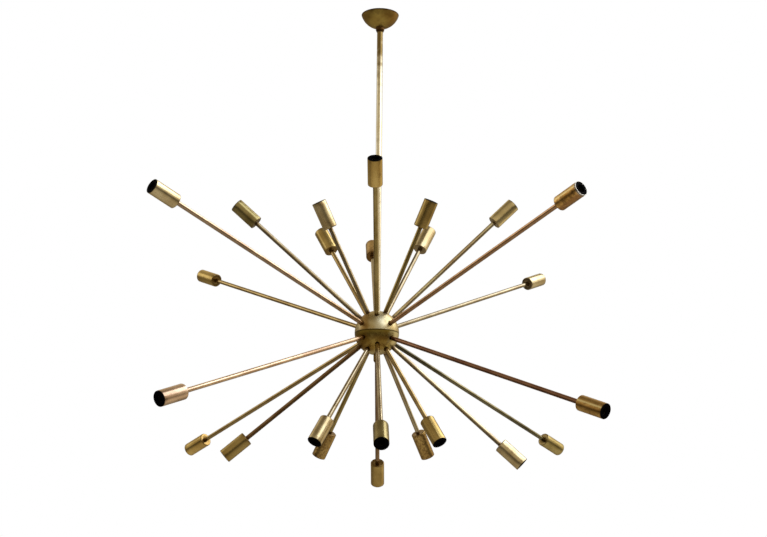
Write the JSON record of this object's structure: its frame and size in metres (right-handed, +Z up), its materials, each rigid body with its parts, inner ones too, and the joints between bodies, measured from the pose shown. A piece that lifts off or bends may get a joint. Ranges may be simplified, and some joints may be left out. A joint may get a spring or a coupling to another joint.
{
  "type": "multi arm chandelier",
  "caption": "Hanging ball chandelier of aged brass: straight tube arms in three lengths fan out from a ball hub, each with a socket cover and a black lampholder, on a stem with a bowl canopy.",
  "frame": {"origin": "on the ceiling plane, midway between the two screw holes of the bracket", "axes": "+Z up, the stem hangs down along -Z, and -Y is the side towards the camera"},
  "size_m": [0.8687, 0.8877, 0.998],
  "materials": {
    "arm_brass": "aged, brown patina",
    "cover_brass": "aged, satin",
    "hub_brass": "aged, half polished",
    "stem_brass": "aged, satin",
    "canopy_brass": "aged, brown patches",
    "collar_brass": "darkened",
    "black_phenolic": "dull black",
    "zinc_steel": "zinc plated"
  },
  "bodies": {
    "chandelier": {"arm_lower_long_1": "arm_brass", "arm_lower_long_2": "arm_brass", "arm_lower_long_3": "arm_brass", "arm_lower_long_4": "arm_brass", "arm_lower_mid_1": "arm_brass", "arm_lower_mid_2": "arm_brass", "arm_lower_mid_3": "arm_brass", "arm_lower_mid_4": "arm_brass", "arm_lower_short_1": "arm_brass", "arm_lower_short_2": "arm_brass", "arm_lower_short_3": "arm_brass", "arm_lower_short_4": "arm_brass", "arm_upper_long_1": "arm_brass", "arm_upper_long_2": "arm_brass", "arm_upper_long_3": "arm_brass", "arm_upper_long_4": "arm_brass", "arm_upper_mid_1": "arm_brass", "arm_upper_mid_2": "arm_brass", "arm_upper_mid_3": "arm_brass", "arm_upper_mid_4": "arm_brass", "arm_upper_short_1": "arm_brass", "arm_upper_short_2": "arm_brass", "arm_upper_short_3": "arm_brass", "arm_upper_short_4": "arm_brass", "bracket_nut": "zinc_steel", "ceiling_bracket": "zinc_steel", "cover_lower_long_1": "cover_brass", "cover_lower_long_2": "cover_brass", "cover_lower_long_3": "cover_brass", "cover_lower_long_4": "cover_brass", "cover_lower_mid_1": "cover_brass", "cover_lower_mid_2": "cover_brass", "cover_lower_mid_3": "cover_brass", "cover_lower_mid_4": "cover_brass", "cover_lower_short_1": "cover_brass", "cover_lower_short_2": "cover_brass", "cover_lower_short_3": "cover_brass", "cover_lower_short_4": "cover_brass", "cover_upper_long_1": "cover_brass", "cover_upper_long_2": "cover_brass", "cover_upper_long_3": "cover_brass", "cover_upper_long_4": "cover_brass", "cover_upper_mid_1": "cover_brass", "cover_upper_mid_2": "cover_brass", "cover_upper_mid_3": "cover_brass", "cover_upper_mid_4": "cover_brass", "cover_upper_short_1": "cover_brass", "cover_upper_short_2": "cover_brass", "cover_upper_short_3": "cover_brass", "cover_upper_short_4": "cover_brass", "hub_cap_nut": "hub_brass", "hub_lower_shell": "hub_brass", "hub_upper_shell": "hub_brass", "lampholders": "black_phenolic", "stem_tube": "stem_brass"},
    "canopy": {"canopy_bowl": "canopy_brass", "canopy_collar": "collar_brass"},
    "clamp_screw": {"collar_screw": "collar_brass"}
  },
  "joints": [
    {"name": "canopy_slide", "type": "slide", "parent": "chandelier", "child": "canopy", "axis": [0, 0, -1], "range_m": [0, 0.58]},
    {"name": "clamp_screw_turn", "type": "hinge", "parent": "canopy", "child": "clamp_screw", "pos_m": [0, 0.0092, -0.03232], "axis": [0, 1, 0], "range_deg": [0, 720]}
  ]
}
